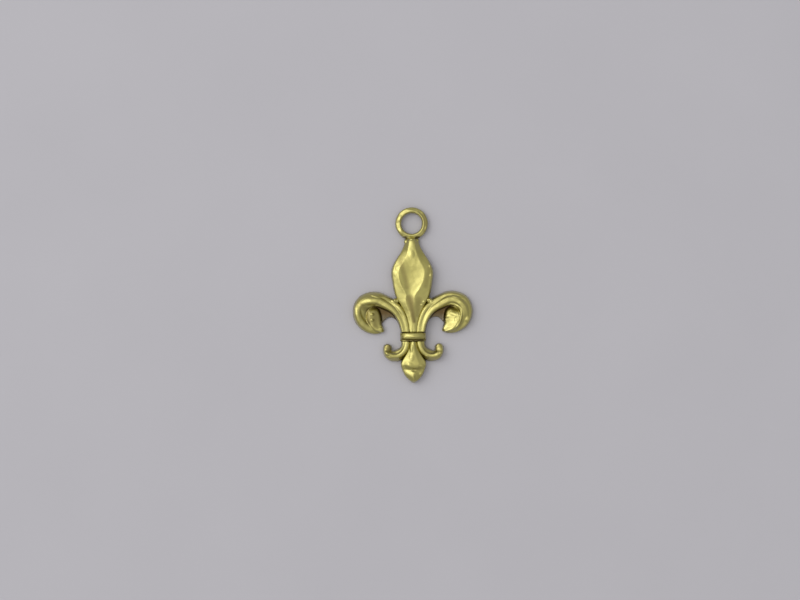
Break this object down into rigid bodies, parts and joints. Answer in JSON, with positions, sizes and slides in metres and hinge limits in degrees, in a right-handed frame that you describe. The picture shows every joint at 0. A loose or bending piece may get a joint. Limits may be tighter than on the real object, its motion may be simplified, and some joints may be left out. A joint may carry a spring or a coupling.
{
  "type": "fleur-de-lis charm",
  "caption": "Small flat-backed brass fleur-de-lis charm with curled petals, a collar band, a scrolled foot and a closed hanging ring.",
  "frame": {"origin": "on the flat back, under the middle of the charm's outline", "axes": "+Y runs up the charm to the hanging ring, +X to the viewer's right, +Z out of the flat back to the worked front"},
  "size_m": [0.0136, 0.02, 0.0019],
  "materials": {
    "cast_brass": "satin raw casting",
    "ring_brass": "satin wire"
  },
  "bodies": {
    "root": {"hanging_ring": "ring_brass", "centre_petal": "cast_brass", "left_petal": "cast_brass", "right_petal": "cast_brass", "collar_band": "cast_brass", "foot_spear": "cast_brass", "left_foot_scroll": "cast_brass", "right_foot_scroll": "cast_brass"}
  },
  "joints": []
}
